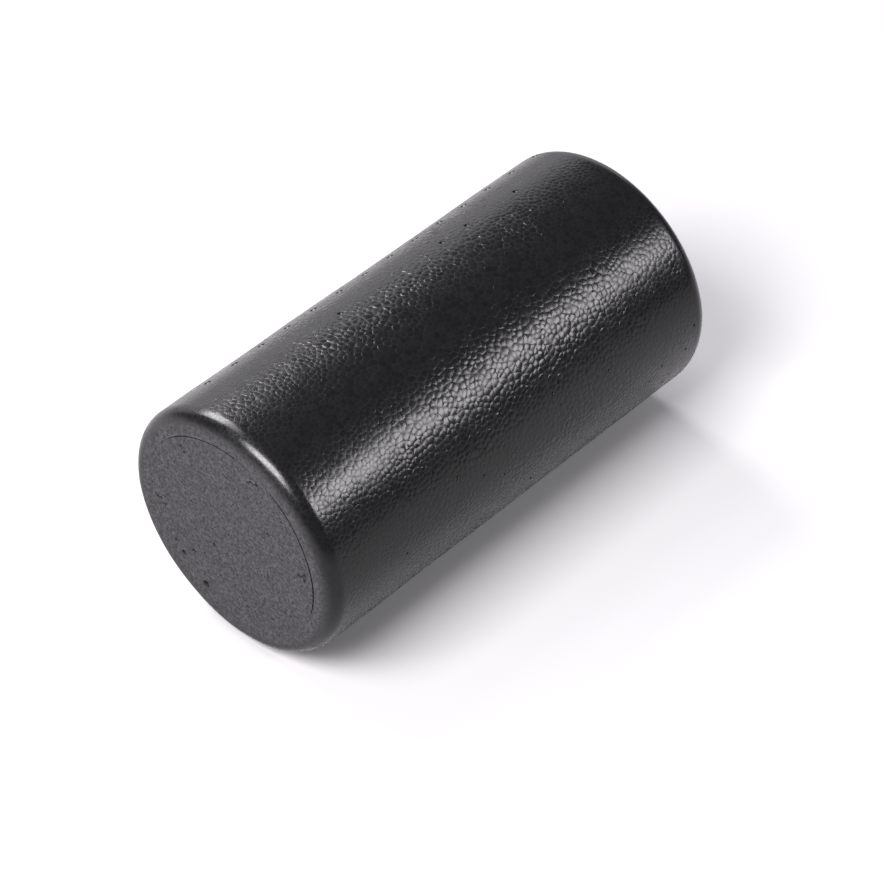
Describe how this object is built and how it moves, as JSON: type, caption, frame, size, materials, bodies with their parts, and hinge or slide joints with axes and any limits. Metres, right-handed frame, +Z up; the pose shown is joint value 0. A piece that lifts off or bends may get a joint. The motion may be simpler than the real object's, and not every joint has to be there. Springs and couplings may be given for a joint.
{
  "type": "foam roller",
  "caption": "Firm round massage foam roller with rounded shoulders: a glossy bead-skinned sleeve over a solid foam core with flat matte ends.",
  "frame": {"origin": "on the surface the roller lies on, under the middle of its length", "axes": "+X along the roller's axis, +Z up; the roller lies on its side"},
  "size_m": [0.3048, 0.1524, 0.1524],
  "materials": {
    "bead_skin": "dark charcoal moulded bead foam with a glossy pebbled skin",
    "matte_foam": "dark grey moulded bead foam with a matte, finely mottled face"
  },
  "bodies": {
    "root": {"outer_sleeve": "bead_skin", "inner_core": "matte_foam"}
  },
  "joints": []
}
